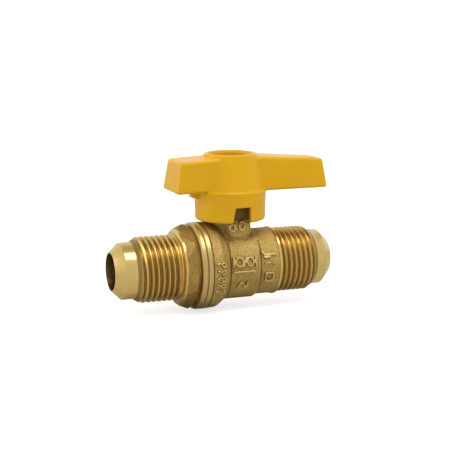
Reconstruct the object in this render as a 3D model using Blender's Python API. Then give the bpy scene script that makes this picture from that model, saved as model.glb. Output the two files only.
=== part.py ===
"""Quarter-turn gas ball valve with two flare ends and a yellow T-handle.

Frame: the origin is the centre of the ball, +X runs along the pipe towards the
outlet, +Z runs up the stem and -Y is the side of the stop lug that shows in the
handle's notch. The handle rests at its open stop, its long wing over the outlet.
"""

import math

import bmesh
import bpy
from mathutils import Matrix, Vector

MM = 0.001

# Driving dimensions
THREAD_MAJOR_RADIUS = 9.525 * MM      # 3/4-16 UNF, the thread of a half-inch flare
THREAD_PITCH = 1.5875 * MM
THREAD_DEPTH = 0.95 * MM
BORE_RADIUS = 5.3 * MM
NOSE_RADIUS = 8.15 * MM
FLARE_LIP = 0.35 * MM                 # flat ring left round the bore at each face
INLET_FACE_X = -36.1 * MM
OUTLET_FACE_X = 29.9 * MM
BODY_RIM_X = -10.9 * MM               # where the body stops and the adapter's flange starts
BODY_RIM_RADIUS = 12.65 * MM
HEX_ACROSS_FLATS = 22.0 * MM
HEX_SIDES_X = (-16.4 * MM, -13.35 * MM)
HEX_CORNER_RADIUS = 12.2 * MM         # the corners are turned off to this
HEX_TURN = math.radians(49.4)         # how far the hexagon is screwed round
BALL_RADIUS = 8.0 * MM
PORT_RADIUS = 5.0 * MM
NECK_RADIUS = 5.9 * MM
NECK_TOP_Z = 19.0 * MM
STEM_RADIUS = 3.6 * MM
SKIRT_BOTTOM_Z = 13.2 * MM
SKIRT_RADIUS = 10.4 * MM
HUB_TOP_Z = 32.4 * MM

# Fits
GAP = 0.3 * MM                        # between pieces that touch or slide
SEAL_GAP = 0.2 * MM
STOP_GAP = 0.2 * MM                   # left between rib and lug at each end of the turn

# Worked-out dimensions
THREAD_ROOT_RADIUS = THREAD_MAJOR_RADIUS - THREAD_DEPTH
FLARE_LENGTH = NOSE_RADIUS - BORE_RADIUS - FLARE_LIP      # 45 degree cone
RIM_END_X = BODY_RIM_X + 1.6 * MM
ADAPTER_RING_X = BODY_RIM_X + 0.8 * MM
CAVITY_RADIUS = BALL_RADIUS + 2.0 * GAP
SEAT_SPHERE_RADIUS = BALL_RADIUS + SEAL_GAP + 0.05 * MM
SEAT_BORE_RADIUS = BORE_RADIUS + 0.1 * MM
SEAT_OUTER_RADIUS = BALL_RADIUS - 0.5 * MM
SEAT_BACK_X = 6.9 * MM
SEAT_FRONT_X = 4.2 * MM
POCKET_RADIUS = SEAT_OUTER_RADIUS + SEAL_GAP
POCKET_FLOOR_X = SEAT_BACK_X + SEAL_GAP
STUB_RADIUS = 10.1 * MM
STUB_END_X = -5.6 * MM
SOCKET_RADIUS = STUB_RADIUS + GAP
SOCKET_FLOOR_X = STUB_END_X + GAP
RING_CORD_RADIUS = 0.55 * MM
RING_GROOVE_DEPTH = 2.0 * RING_CORD_RADIUS
RING_GROOVE_HALF = 0.8 * MM

LUG_HALF_WIDTH = 3.5 * MM
LUG_REACH = 7.0 * MM                  # lug's front face from the stem's axis
LUG_FOOT_Z = 11.4 * MM                # centre of the lug's round lower end
SKIRT_INNER_RADIUS = 8.3 * MM
RIB_INNER_RADIUS = NECK_RADIUS + GAP
NOTCH_SIDES_X = (-1.95 * MM, 2.65 * MM)
NOTCH_TOP_Z = 17.7 * MM
WEB_BOTTOM_Z = 20.0 * MM
WEB_TOP_Z = 23.0 * MM
CUP_RADIUS = 6.05 * MM
RIM_RADIUS = 7.6 * MM
SHOULDER_Z = WEB_BOTTOM_Z - SEAL_GAP  # where the stem's drive begins
DRIVE_RADIUS = 3.2 * MM
DRIVE_HALF_FLATS = 2.2 * MM
STEM_THREAD_RADIUS = 2.5 * MM
STEM_TOP_Z = 28.3 * MM
STEM_BORE_RADIUS = STEM_RADIUS + GAP
COLLAR_RADIUS = 4.6 * MM
COLLAR_Z = (8.5 * MM, 9.5 * MM)
WASHER_Z = (9.7 * MM, 10.4 * MM)
COUNTERBORE_RADIUS = 5.0 * MM
COUNTERBORE_TOP_Z = WASHER_Z[1] + SEAL_GAP
STEM_RING_Z = (12.8 * MM, 15.8 * MM)
SLOT_HALF_WIDTH = 1.7 * MM
SLOT_FLOOR_Z = 5.8 * MM
LOCK_WASHER_Z = (WEB_TOP_Z + SEAL_GAP, WEB_TOP_Z + SEAL_GAP + 1.0 * MM)
NUT_Z = (LOCK_WASHER_Z[1] + SEAL_GAP, LOCK_WASHER_Z[1] + SEAL_GAP + 3.6 * MM)
NUT_ACROSS_FLATS = 8.0 * MM

# The T-bar at its short end, over the hub and at its long end: along X, half width, height
WING_FOOT = ((-18.4 * MM, 7.2 * MM, 21.9 * MM), (0.0, 6.0 * MM, 21.7 * MM), (29.25 * MM, 4.6 * MM, 21.4 * MM))
WING_CREST = ((-16.9 * MM, 6.5 * MM, 30.8 * MM), (0.0, 6.0 * MM, 31.8 * MM), (27.6 * MM, 4.4 * MM, 30.1 * MM))
WING_CORNER = 1.1 * MM                # rounding of the four upright end edges
WING_EDGE = 0.8 * MM                  # rounding of the long edges
GUSSET_REACH = 1.9 * MM               # how far the web under the short wing stands off the skirt
GUSSET_HALF_WIDTH = 1.6 * MM
GUSSET_DROP = 2.2 * MM

BODY_SIDES = 40
SMALL_SIDES = 28
RING_SIDES = 8


def material(name, colour, roughness, metallic):
    """A plain Principled finish."""
    finish = bpy.data.materials.new(name)
    finish.use_nodes = True
    shader = finish.node_tree.nodes["Principled BSDF"]
    shader.inputs["Base Color"].default_value = (*colour, 1.0)
    shader.inputs["Roughness"].default_value = roughness
    shader.inputs["Metallic"].default_value = metallic
    return finish


def add_object(name, bm, finish=None, parent=None):
    """Turn a bmesh into an object, smooth where it is round."""
    bmesh.ops.remove_doubles(bm, verts=bm.verts, dist=0.001 * MM)
    bmesh.ops.dissolve_degenerate(bm, edges=bm.edges, dist=0.001 * MM)
    bmesh.ops.recalc_face_normals(bm, faces=bm.faces)
    mesh = bpy.data.meshes.new(name)
    bm.to_mesh(mesh)
    bm.free()
    mesh.shade_smooth()
    mesh.set_sharp_from_angle(angle=math.radians(32.0))
    obj = bpy.data.objects.new(name, mesh)
    bpy.context.scene.collection.objects.link(obj)
    obj.parent = parent
    if finish is not None:
        mesh.materials.append(finish)
    return obj


def turned(outline, axis, sides):
    """Spin a closed outline of (along, radius) points about the X or the Z axis."""
    bm = bmesh.new()
    verts = []
    for along, radius in outline:
        place = (along, 0.0, radius) if axis == "X" else (radius, 0.0, along)
        verts.append(bm.verts.new(place))
    edges = [bm.edges.new((a, b)) for a, b in zip(verts, verts[1:] + verts[:1])]
    direction = Vector((1.0, 0.0, 0.0)) if axis == "X" else Vector((0.0, 0.0, 1.0))
    bmesh.ops.spin(bm, geom=verts + edges, cent=(0.0, 0.0, 0.0), axis=direction,
                   angle=math.tau, steps=sides, use_merge=True)
    return bm


def solid_outline(outer):
    """Close an outer line of (along, radius) points down to the axis."""
    return [(outer[0][0], 0.0)] + outer + [(outer[-1][0], 0.0)]


def block(low, high):
    """A box between two corners."""
    bm = bmesh.new()
    bmesh.ops.create_cube(bm, size=1.0)
    size = Vector(high) - Vector(low)
    middle = (Vector(high) + Vector(low)) / 2.0
    bmesh.ops.transform(bm, verts=bm.verts, matrix=Matrix.Translation(middle) @ Matrix.Diagonal((*size, 1.0)))
    return bm


def prism(points, bottom, top):
    """Extrude a closed outline of (x, y) points between two heights."""
    bm = bmesh.new()
    face = bm.faces.new([bm.verts.new((x, y, bottom)) for x, y in points])
    grown = bmesh.ops.extrude_face_region(bm, geom=[face])
    lifted = [item for item in grown["geom"] if isinstance(item, bmesh.types.BMVert)]
    bmesh.ops.translate(bm, verts=lifted, vec=(0.0, 0.0, top - bottom))
    return bm


def hexagon(across_flats, turn):
    """Corners of a regular hexagon, the first one at the angle turn."""
    radius = across_flats / 2.0 / math.cos(math.pi / 6.0)
    angles = [turn + k * math.pi / 3.0 for k in range(6)]
    return [(radius * math.cos(a), radius * math.sin(a)) for a in angles]


def combine(target, other, operation):
    """Boolean target with other, which becomes a guide the build leaves out."""
    other.hide_render = True
    other.display_type = "WIRE"
    modifier = target.modifiers.new(other.name, "BOOLEAN")
    modifier.operation = operation
    modifier.object = other


def cut(target, name, bm):
    combine(target, add_object(name, bm, parent=target.parent), "DIFFERENCE")


def join(target, name, bm):
    combine(target, add_object(name, bm, parent=target.parent), "UNION")


def thread_outline(start, end, crest_radius, depth, pitch):
    """Ridges of an outside thread from start to end along the axis, with a tapered lead-in."""
    turns = round(abs(end - start) / pitch)
    step = (end - start) / turns
    points = []
    for k in range(turns):
        begin = start + k * step
        points.append((begin, crest_radius - depth))
        points.append((begin + 0.42 * step, crest_radius))
        points.append((begin + 0.58 * step, crest_radius))
    points.append((end, crest_radius - depth))
    return points


def flare_end(face_x, inward, thread_start, thread_end):
    """Outer line of a flare end, from the lip round the bore to the end of the thread."""
    nose_start = face_x + inward * FLARE_LENGTH
    lead = 1.3 * MM * inward
    outline = [(face_x, BORE_RADIUS + FLARE_LIP), (nose_start, NOSE_RADIUS)]
    outline.append((thread_start - lead, NOSE_RADIUS))
    return outline + thread_outline(thread_start, thread_end, THREAD_MAJOR_RADIUS, THREAD_DEPTH, THREAD_PITCH)


def ring_groove(middle, crest_radius):
    """Outline points of a groove for a seal ring in a turned outer line."""
    root = crest_radius - RING_GROOVE_DEPTH
    low = middle - RING_GROOVE_HALF
    high = middle + RING_GROOVE_HALF
    return [(low, crest_radius), (low, root), (high, root), (high, crest_radius)]


def seal_ring(name, middle, crest_radius, axis, finish, parent=None):
    """A round-section ring centred in the gap above its groove."""
    mean = crest_radius + GAP / 2.0 - RING_GROOVE_DEPTH / 2.0
    circle = [k * math.tau / RING_SIDES for k in range(RING_SIDES)]
    section = [(middle + RING_CORD_RADIUS * math.sin(a), mean + RING_CORD_RADIUS * math.cos(a)) for a in circle]
    return add_object(name, turned(section, axis, SMALL_SIDES), finish, parent)


def make_adapter(finish):
    """Inlet half of the body: flare end, wrench hexagon, flange and the stub that screws in."""
    outline = flare_end(INLET_FACE_X, 1.0, -28.4 * MM, -17.3 * MM)
    outline += [(-17.2 * MM, 10.2 * MM), (-16.8 * MM, 10.9 * MM), (HEX_SIDES_X[0] - 0.05 * MM, 11.1 * MM)]
    outline += [(HEX_SIDES_X[0] + 0.05 * MM, 11.3 * MM), (HEX_SIDES_X[0] + 2.0 * MM, HEX_CORNER_RADIUS)]
    outline += [(HEX_SIDES_X[1] - 0.45 * MM, HEX_CORNER_RADIUS), (HEX_SIDES_X[1] - 0.05 * MM, 11.7 * MM)]
    outline += [(HEX_SIDES_X[1] + 0.05 * MM, 11.2 * MM), (BODY_RIM_X - 1.7 * MM, 11.2 * MM)]
    outline += [(BODY_RIM_X - 1.5 * MM, 12.3 * MM), (BODY_RIM_X - 1.2 * MM, 12.6 * MM)]
    outline += [(BODY_RIM_X - 0.4 * MM, 12.6 * MM)]
    outline += [(BODY_RIM_X - GAP, 12.4 * MM), (BODY_RIM_X - GAP, STUB_RADIUS - RING_GROOVE_DEPTH)]
    outline += [(RIM_END_X, STUB_RADIUS - RING_GROOVE_DEPTH), (RIM_END_X, STUB_RADIUS)]
    outline += [(STUB_END_X, STUB_RADIUS), (STUB_END_X, POCKET_RADIUS), (-POCKET_FLOOR_X, POCKET_RADIUS)]
    outline += [(-POCKET_FLOOR_X, BORE_RADIUS), (INLET_FACE_X, BORE_RADIUS)]
    adapter = add_object("end_adapter", turned(outline, "X", BODY_SIDES), finish)

    # Everything outside the hexagon goes: a short ring with a six-sided hole.
    ring = prism(hexagon(3.0 * HEX_ACROSS_FLATS, 0.0), *HEX_SIDES_X)
    hole = prism(hexagon(HEX_ACROSS_FLATS, HEX_TURN), HEX_SIDES_X[0] - MM, HEX_SIDES_X[1] + MM)
    along_pipe = Matrix.Rotation(math.pi / 2.0, 4, "Y")
    for bm in (ring, hole):
        bmesh.ops.transform(bm, verts=bm.verts, matrix=along_pipe)
    outside = add_object("hexagon_cutter", ring)
    combine(outside, add_object("hexagon_guide", hole), "DIFFERENCE")
    combine(adapter, outside, "DIFFERENCE")
    return adapter


def make_body(finish):
    """Outlet half of the body: chamber, neck with its stop lugs, and the outlet flare end."""
    outlet = flare_end(OUTLET_FACE_X, -1.0, 22.8 * MM, 13.3 * MM)
    outlet.reverse()
    outer = [(BODY_RIM_X, 12.4 * MM), (BODY_RIM_X + 0.25 * MM, BODY_RIM_RADIUS)]
    outer += [(RIM_END_X - 0.2 * MM, BODY_RIM_RADIUS)]
    outer += [(RIM_END_X, 12.35 * MM), (RIM_END_X + 0.3 * MM, 12.6 * MM), (-6.5 * MM, 12.4 * MM)]
    outer += [(-5.3 * MM, 11.9 * MM), (-4.1 * MM, 11.0 * MM), (-3.5 * MM, 10.5 * MM)]
    outer += [(5.5 * MM, 10.4 * MM), (6.1 * MM, 9.75 * MM), (11.7 * MM, 9.75 * MM)]
    outer += [(11.8 * MM, 10.0 * MM), (12.7 * MM, 10.0 * MM), (12.9 * MM, THREAD_ROOT_RADIUS)]
    body = add_object("valve_body", turned(solid_outline(outer + outlet), "X", BODY_SIDES), finish)

    neck = [(0.0, 6.9 * MM), (9.2 * MM, 6.9 * MM), (10.4 * MM, 6.2 * MM), (11.4 * MM, NECK_RADIUS)]
    neck += [(NECK_TOP_Z - 0.4 * MM, NECK_RADIUS), (NECK_TOP_Z, NECK_RADIUS - 0.4 * MM)]
    join(body, "neck_guide", turned(solid_outline(neck), "Z", BODY_SIDES))
    join(body, "lug_guide", lug_bars())

    way = [(BODY_RIM_X - MM, SOCKET_RADIUS), (SOCKET_FLOOR_X, SOCKET_RADIUS), (SOCKET_FLOOR_X, CAVITY_RADIUS)]
    way += [(SEAT_FRONT_X - SEAL_GAP, CAVITY_RADIUS), (SEAT_FRONT_X - SEAL_GAP, POCKET_RADIUS)]
    way += [(POCKET_FLOOR_X, POCKET_RADIUS), (POCKET_FLOOR_X, BORE_RADIUS), (OUTLET_FACE_X + MM, BORE_RADIUS)]
    cut(body, "way_cutter", turned(solid_outline(way), "X", BODY_SIDES))

    stem_way = [(0.0, COUNTERBORE_RADIUS), (COUNTERBORE_TOP_Z, COUNTERBORE_RADIUS)]
    stem_way += [(COUNTERBORE_TOP_Z, STEM_BORE_RADIUS), (NECK_TOP_Z + MM, STEM_BORE_RADIUS)]
    cut(body, "stem_cutter", turned(solid_outline(stem_way), "Z", SMALL_SIDES))
    return body


def lug_bars():
    """One bar through the neck, front to back, whose ends are the two stop lugs."""
    top = NECK_TOP_Z - 0.2 * MM
    arc = [math.pi + k * math.pi / 8.0 for k in range(9)]
    outline = [(LUG_HALF_WIDTH * math.cos(a), LUG_FOOT_Z + LUG_HALF_WIDTH * math.sin(a)) for a in arc]
    outline += [(LUG_HALF_WIDTH, top), (-LUG_HALF_WIDTH, top)]
    bm = prism(outline, -LUG_REACH, LUG_REACH)
    upright = Matrix.Rotation(math.pi / 2.0, 4, "X")
    bmesh.ops.transform(bm, verts=bm.verts, matrix=upright)
    return bm


def make_seat(name, side, finish):
    """PTFE ring with a hollow face that the ball turns against; side is -1 or +1 along the pipe."""
    edge_x = math.sqrt(SEAT_SPHERE_RADIUS ** 2 - SEAT_BORE_RADIUS ** 2)
    first = math.acos(SEAT_FRONT_X / SEAT_SPHERE_RADIUS)
    last = math.acos(edge_x / SEAT_SPHERE_RADIUS)
    steps = 4
    outline = [(SEAT_BACK_X, SEAT_BORE_RADIUS), (SEAT_BACK_X, SEAT_OUTER_RADIUS), (SEAT_FRONT_X, SEAT_OUTER_RADIUS)]
    for k in range(steps + 1):
        angle = first + (last - first) * k / steps
        outline.append((SEAT_SPHERE_RADIUS * math.cos(angle), SEAT_SPHERE_RADIUS * math.sin(angle)))
    outline = [(side * along, radius) for along, radius in outline]
    return add_object(name, turned(outline, "X", SMALL_SIDES), finish)


def make_ball(finish, parent):
    """Chromed ball with a through port along X and a drive slot across its top along Y."""
    rings = 16
    bm = bmesh.new()
    bmesh.ops.create_uvsphere(bm, u_segments=SMALL_SIDES, v_segments=rings, radius=BALL_RADIUS)
    ball = add_object("ball", bm, finish, parent)
    reach = BALL_RADIUS + MM
    port = [(-reach, PORT_RADIUS), (reach, PORT_RADIUS)]
    cut(ball, "port_cutter", turned(solid_outline(port), "X", SMALL_SIDES))
    cut(ball, "slot_cutter", block((-SLOT_HALF_WIDTH, -reach, SLOT_FLOOR_Z), (SLOT_HALF_WIDTH, reach, reach)))
    return ball


def make_stem(finish, parent):
    """Blow-out-proof stem: tang, collar, two ring grooves, double-D drive and threaded top."""
    tang_radius = 4.0 * MM
    tang_half = SLOT_HALF_WIDTH - SEAL_GAP
    tang_foot = SLOT_FLOOR_Z + GAP
    outline = [(tang_foot, tang_radius), (COLLAR_Z[0], tang_radius), (COLLAR_Z[0], COLLAR_RADIUS)]
    outline += [(COLLAR_Z[1], COLLAR_RADIUS), (COLLAR_Z[1], STEM_RADIUS)]
    for middle in STEM_RING_Z:
        outline += ring_groove(middle, STEM_RADIUS)
    outline += [(SHOULDER_Z, STEM_RADIUS), (SHOULDER_Z, DRIVE_RADIUS), (WEB_TOP_Z - GAP, DRIVE_RADIUS)]
    outline += [(WEB_TOP_Z - GAP, STEM_THREAD_RADIUS), (STEM_TOP_Z - 0.4 * MM, STEM_THREAD_RADIUS)]
    outline += [(STEM_TOP_Z, STEM_THREAD_RADIUS - 0.4 * MM)]
    stem = add_object("stem", turned(solid_outline(outline), "Z", SMALL_SIDES), finish, parent)

    wide = 2.0 * COLLAR_RADIUS
    for side, label in ((-1.0, "left"), (1.0, "right")):
        near = side * tang_half
        far = side * wide
        low = (min(near, far), -wide, tang_foot - MM)
        high = (max(near, far), wide, COLLAR_Z[0])
        cut(stem, "tang_" + label + "_cutter", block(low, high))
        near = side * DRIVE_HALF_FLATS
        low = (-wide, min(near, far), SHOULDER_Z)
        high = (wide, max(near, far), WEB_TOP_Z - GAP)
        cut(stem, "drive_" + label + "_cutter", block(low, high))
    return stem


def wing_bar():
    """The handle's T-bar: a tapered block from the short end over the hub to the long end."""
    bm = bmesh.new()
    loops = []
    for stations in (WING_FOOT, WING_CREST):
        near = [bm.verts.new((x, -half, z)) for x, half, z in stations]
        far = [bm.verts.new((x, half, z)) for x, half, z in reversed(stations)]
        loops.append(near + far)
    foot, crest = loops
    bm.faces.new(foot)
    for first in (0, 1):
        bm.faces.new((crest[first], crest[first + 1], crest[4 - first], crest[5 - first]))
    for k in range(len(foot)):
        after = (k + 1) % len(foot)
        bm.faces.new((foot[k], foot[after], crest[after], crest[k]))
    bmesh.ops.recalc_face_normals(bm, faces=bm.faces)

    upright = [edge for edge in bm.edges if is_upright(edge) and abs(edge.verts[0].co.x) > MM]
    rounded(bm, upright, WING_CORNER)
    level = [edge for edge in bm.edges if is_rim(edge)]
    rounded(bm, level, WING_EDGE)
    return bm


def is_upright(edge):
    """True for an edge that climbs from the bar's foot to its crest."""
    return abs(edge.verts[0].co.z - edge.verts[1].co.z) > 5.0 * MM


def is_rim(edge):
    """True for an edge between a level face and a standing one."""
    level = [abs(face.normal.z) > 0.7 for face in edge.link_faces]
    return any(level) and not all(level)


def rounded(bm, edges, radius):
    bmesh.ops.bevel(bm, geom=edges, offset=radius, offset_type="OFFSET", segments=2, profile=0.5,
                    affect="EDGES", clamp_overlap=True, material=-1)


def make_handle(finish, parent):
    """Die-cast T-handle: cup hub, two unequal wings, skirt with a notch and two stop ribs inside."""
    hub = [(SKIRT_BOTTOM_Z, SKIRT_RADIUS - 0.5 * MM), (SKIRT_BOTTOM_Z + 0.5 * MM, SKIRT_RADIUS)]
    hub += [(21.8 * MM, SKIRT_RADIUS), (22.1 * MM, 10.0 * MM), (HUB_TOP_Z - 0.5 * MM, RIM_RADIUS)]
    hub += [(HUB_TOP_Z, RIM_RADIUS - 0.5 * MM)]
    handle = add_object("handle", turned(solid_outline(hub), "Z", BODY_SIDES), finish, parent)

    join(handle, "wing_guide", wing_bar())

    underside = WING_FOOT[0][2]
    low = (-SKIRT_RADIUS - GUSSET_REACH, -GUSSET_HALF_WIDTH, underside - GUSSET_DROP)
    join(handle, "gusset_guide", block(low, (-SKIRT_RADIUS + MM, GUSSET_HALF_WIDTH, underside + MM)))

    cup = [(WEB_TOP_Z, CUP_RADIUS), (HUB_TOP_Z + MM, CUP_RADIUS)]
    cut(handle, "cup_cutter", turned(solid_outline(cup), "Z", SMALL_SIDES))
    skirt = [(SKIRT_BOTTOM_Z - MM, SKIRT_INNER_RADIUS), (WEB_BOTTOM_Z, SKIRT_INNER_RADIUS)]
    cut(handle, "skirt_cutter", turned(solid_outline(skirt), "Z", SMALL_SIDES))

    # Two ribs: each one's flat sides meet a lug squarely at the two ends of the quarter turn.
    near = LUG_HALF_WIDTH + STOP_GAP
    inner = [(near, -math.sqrt(RIB_INNER_RADIUS ** 2 - near ** 2))]
    inner += [(math.sqrt(RIB_INNER_RADIUS ** 2 - near ** 2), -near)]
    outer_radius = SKIRT_INNER_RADIUS + 0.6 * MM
    first = -math.asin(near / outer_radius)
    last = -math.acos(near / outer_radius)
    outer = [first + (last - first) * k / 3.0 for k in range(4)]
    outline = inner + [(outer_radius * math.cos(a), outer_radius * math.sin(a)) for a in outer]
    for turn, label in ((0.0, "front"), (math.pi, "back")):
        rib = prism(outline, SKIRT_BOTTOM_Z + 1.2 * MM, WEB_BOTTOM_Z + 0.5 * MM)
        bmesh.ops.rotate(rib, verts=rib.verts, matrix=Matrix.Rotation(turn, 3, "Z"))
        join(handle, "rib_" + label + "_guide", rib)

    notch_low = (NOTCH_SIDES_X[0], -SKIRT_RADIUS - MM, SKIRT_BOTTOM_Z - MM)
    cut(handle, "notch_cutter", block(notch_low, (NOTCH_SIDES_X[1], -NECK_RADIUS, NOTCH_TOP_Z)))

    bore = [(WEB_BOTTOM_Z - MM, DRIVE_RADIUS + GAP), (WEB_TOP_Z + MM, DRIVE_RADIUS + GAP)]
    drive = add_object("drive_cutter", turned(solid_outline(bore), "Z", SMALL_SIDES), parent=parent)
    half = DRIVE_HALF_FLATS + GAP
    wide = 2.0 * DRIVE_RADIUS
    flats = block((-wide, -half, WEB_BOTTOM_Z - 2.0 * MM), (wide, half, WEB_TOP_Z + 2.0 * MM))
    combine(drive, add_object("flats_guide", flats, parent=parent), "INTERSECT")
    combine(handle, drive, "DIFFERENCE")
    return handle


def make_washer(name, heights, inner, outer, finish, parent=None):
    outline = [(heights[0], inner), (heights[1], inner), (heights[1], outer), (heights[0], outer)]
    return add_object(name, turned(outline, "Z", SMALL_SIDES), finish, parent)


def make_nut(finish, parent):
    """Hexagon nut with chamfered corners."""
    corner = NUT_ACROSS_FLATS / 2.0 / math.cos(math.pi / 6.0)
    nut = add_object("handle_nut", prism(hexagon(NUT_ACROSS_FLATS, 0.0), *NUT_Z), finish, parent)
    inner = STEM_THREAD_RADIUS + GAP
    outline = [(NUT_Z[0] - MM, inner), (NUT_Z[1] + MM, inner)]
    cut(nut, "nut_bore_cutter", turned(solid_outline(outline), "Z", SMALL_SIDES))
    chamfer = 0.35 * MM
    top = NUT_Z[1]
    trim = [(top - 2.0 * chamfer, corner + 2.0 * chamfer), (top + MM, corner + 2.0 * chamfer)]
    trim += [(top + MM, corner - 2.0 * chamfer), (top, corner - chamfer)]
    trim += [(top - 0.4 * chamfer, corner + 0.2 * chamfer)]
    cut(nut, "nut_trim_cutter", turned(trim, "Z", SMALL_SIDES))
    return nut


def make_axis():
    """Empty on the stem's axis that everything that turns hangs from."""
    axis = bpy.data.objects.new("stem_axis", None)
    bpy.context.scene.collection.objects.link(axis)
    return axis


def main():
    for obj in list(bpy.data.objects):
        bpy.data.objects.remove(obj, do_unlink=True)

    forged = material("forged_brass", (0.52, 0.36, 0.11), 0.5, 1.0)
    cut_brass = material("machined_brass", (0.62, 0.43, 0.16), 0.28, 1.0)
    chrome = material("chromed_brass", (0.75, 0.75, 0.76), 0.12, 1.0)
    steel = material("zinc_plated_steel", (0.6, 0.6, 0.58), 0.35, 1.0)
    ptfe = material("white_ptfe", (0.85, 0.85, 0.83), 0.5, 0.0)
    rubber = material("black_nitrile", (0.03, 0.03, 0.03), 0.65, 0.0)
    paint = material("yellow_paint", (0.76, 0.42, 0.02), 0.35, 0.0)

    make_body(forged)
    make_adapter(cut_brass)
    seal_ring("adapter_seal_ring", ADAPTER_RING_X, STUB_RADIUS, "X", rubber)
    make_seat("inlet_seat", -1.0, ptfe)
    make_seat("outlet_seat", 1.0, ptfe)
    make_washer("thrust_washer", WASHER_Z, STEM_RADIUS + SEAL_GAP, COLLAR_RADIUS, ptfe)

    axis = make_axis()
    make_ball(chrome, axis)
    make_stem(cut_brass, axis)
    for label, middle in zip(("lower", "upper"), STEM_RING_Z):
        seal_ring(label + "_stem_seal_ring", middle, STEM_RADIUS, "Z", rubber, axis)
    make_handle(paint, axis)
    make_washer("lock_washer", LOCK_WASHER_Z, STEM_THREAD_RADIUS + GAP, 4.4 * MM, steel, axis)
    make_nut(steel, axis)


main()
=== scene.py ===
import math

import bmesh
import bpy
from mathutils import Matrix, Vector


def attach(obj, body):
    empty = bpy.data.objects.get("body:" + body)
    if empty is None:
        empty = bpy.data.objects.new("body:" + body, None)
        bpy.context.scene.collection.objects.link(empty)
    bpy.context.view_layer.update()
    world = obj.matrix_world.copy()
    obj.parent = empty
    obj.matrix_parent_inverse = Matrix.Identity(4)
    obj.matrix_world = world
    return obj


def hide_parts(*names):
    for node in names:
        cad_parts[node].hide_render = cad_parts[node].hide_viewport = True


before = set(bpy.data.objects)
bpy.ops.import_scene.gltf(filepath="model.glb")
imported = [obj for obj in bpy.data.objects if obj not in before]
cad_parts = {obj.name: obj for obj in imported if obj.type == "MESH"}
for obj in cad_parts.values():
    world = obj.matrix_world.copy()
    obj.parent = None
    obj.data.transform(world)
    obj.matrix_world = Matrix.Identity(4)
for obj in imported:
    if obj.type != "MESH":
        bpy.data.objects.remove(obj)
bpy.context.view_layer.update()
print("frame loaded:", len(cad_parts), "nodes")

mm = 0.001
bodySteps = 160
smallSteps = 96


def roundedOutline(corners, arcSteps=5):
    # corners are (along, across, fillet) in millimetres, round a closed outline
    points = []
    for k, (along, across, fillet) in enumerate(corners):
        here = Vector((along, across))
        if fillet == 0:
            points.append(here)
            continue
        back = (Vector(corners[k - 1][:2]) - here).normalized()
        ahead = (Vector(corners[(k + 1) % len(corners)][:2]) - here).normalized()
        half = back.angle(ahead) / 2
        centre = here + (back + ahead).normalized() * fillet / math.sin(half)
        first = (here + back * fillet / math.tan(half) - centre) / fillet
        last = (here + ahead * fillet / math.tan(half) - centre) / fillet
        sweep = first.angle(last)
        for s in range(arcSteps + 1):
            t = s / arcSteps
            spoke = first * math.sin((1 - t) * sweep) + last * math.sin(t * sweep)
            points.append(centre + spoke * fillet / math.sin(sweep))
    return [(p[0], p[1]) for p in points]


def spun(points, axis="X", steps=bodySteps):
    # a closed outline of (along, radius) in millimetres, turned about X or Z
    bm = bmesh.new()
    verts = []
    for along, radius in points:
        radius = max(radius, 0)
        place = (along, 0, radius) if axis == "X" else (radius, 0, along)
        verts.append(bm.verts.new(Vector(place) * mm))
    edges = [bm.edges.new((verts[k - 1], verts[k])) for k in range(len(verts))]
    direction = Vector((1, 0, 0)) if axis == "X" else Vector((0, 0, 1))
    bmesh.ops.spin(bm, geom=verts + edges, cent=(0, 0, 0), axis=direction, angle=math.tau,
                   steps=steps, use_merge=True)
    return tidied(bm)


def tidied(bm):
    bmesh.ops.remove_doubles(bm, verts=bm.verts, dist=0.0005 * mm)
    bmesh.ops.dissolve_degenerate(bm, edges=bm.edges, dist=0.0005 * mm)
    bmesh.ops.recalc_face_normals(bm, faces=bm.faces)
    return bm


def solidOf(outer):
    # an outer line closed down to the axis
    return [(outer[0][0], 0)] + outer + [(outer[-1][0], 0)]


def block(low, high, cuts=0):
    bm = bmesh.new()
    bmesh.ops.create_cube(bm, size=1)
    if cuts:
        bmesh.ops.subdivide_edges(bm, edges=bm.edges, cuts=cuts, use_grid_fill=True)
    low = Vector(low) * mm
    high = Vector(high) * mm
    bmesh.ops.scale(bm, verts=bm.verts, vec=high - low)
    bmesh.ops.translate(bm, verts=bm.verts, vec=(high + low) / 2)
    return bm


def prism(points, bottom, top):
    bm = bmesh.new()
    face = bm.faces.new([bm.verts.new(Vector((x, y, bottom)) * mm) for x, y in points])
    grown = bmesh.ops.extrude_face_region(bm, geom=[face])
    lifted = [item for item in grown["geom"] if isinstance(item, bmesh.types.BMVert)]
    bmesh.ops.translate(bm, verts=lifted, vec=(0, 0, (top - bottom) * mm))
    bmesh.ops.recalc_face_normals(bm, faces=bm.faces)
    return bm


def hexCorners(acrossFlats, turn=0):
    radius = acrossFlats / 2 / math.cos(math.pi / 6)
    angles = [turn + k * math.pi / 3 for k in range(6)]
    return [(radius * math.cos(a), radius * math.sin(a)) for a in angles]


def turnedBy(bm, angle, axis="Z"):
    bmesh.ops.rotate(bm, verts=bm.verts, cent=(0, 0, 0), matrix=Matrix.Rotation(angle, 3, axis))
    return bm


def merged(*parts):
    # several closed shapes in one bmesh
    whole = bmesh.new()
    for part in parts:
        mesh = bpy.data.meshes.new("part")
        part.to_mesh(mesh)
        part.free()
        whole.from_mesh(mesh)
        bpy.data.meshes.remove(mesh)
    return whole


def looseObject(name, bm):
    mesh = bpy.data.meshes.new(name)
    bm.to_mesh(mesh)
    bm.free()
    obj = bpy.data.objects.new(name, mesh)
    bpy.context.scene.collection.objects.link(obj)
    return obj


def applied(obj):
    # the object with its modifiers made real
    graph = bpy.context.evaluated_depsgraph_get()
    mesh = bpy.data.meshes.new_from_object(obj.evaluated_get(graph))
    obj.modifiers.clear()
    old = obj.data
    obj.data = mesh
    bpy.data.meshes.remove(old)
    return obj


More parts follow.
